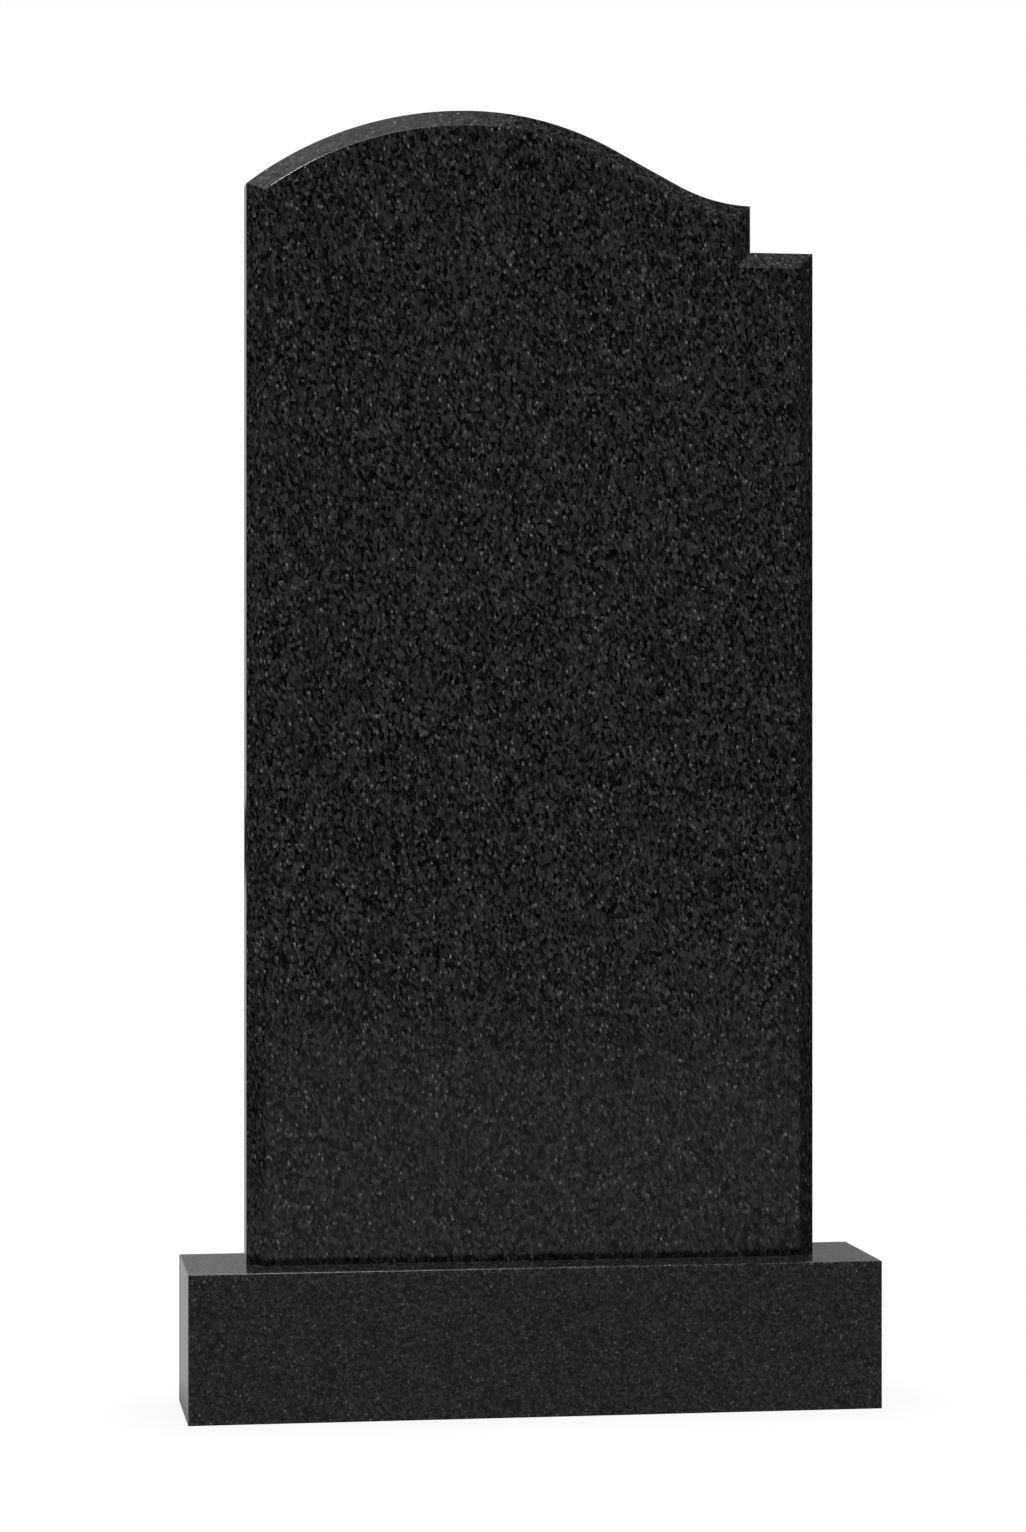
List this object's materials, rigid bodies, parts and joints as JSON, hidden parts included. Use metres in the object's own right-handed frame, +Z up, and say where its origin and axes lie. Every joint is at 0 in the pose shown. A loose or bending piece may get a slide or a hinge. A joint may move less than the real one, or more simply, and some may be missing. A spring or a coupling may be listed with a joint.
{
  "type": "headstone",
  "caption": "Upright headstone of polished black granite with a flowing, stepped top and a bevelled face, on a low plinth.",
  "frame": {"origin": "middle of the plinth's underside, on the ground", "axes": "+Z up, +X to the right as one faces the stone; the bevelled face looks along -Y"},
  "size_m": [0.722, 0.16, 1.3543],
  "materials": {
    "black_granite": "polished, plainer at the back and sawn underneath"
  },
  "bodies": {
    "root": {"plinth": "black_granite", "stele": "black_granite"}
  },
  "joints": []
}
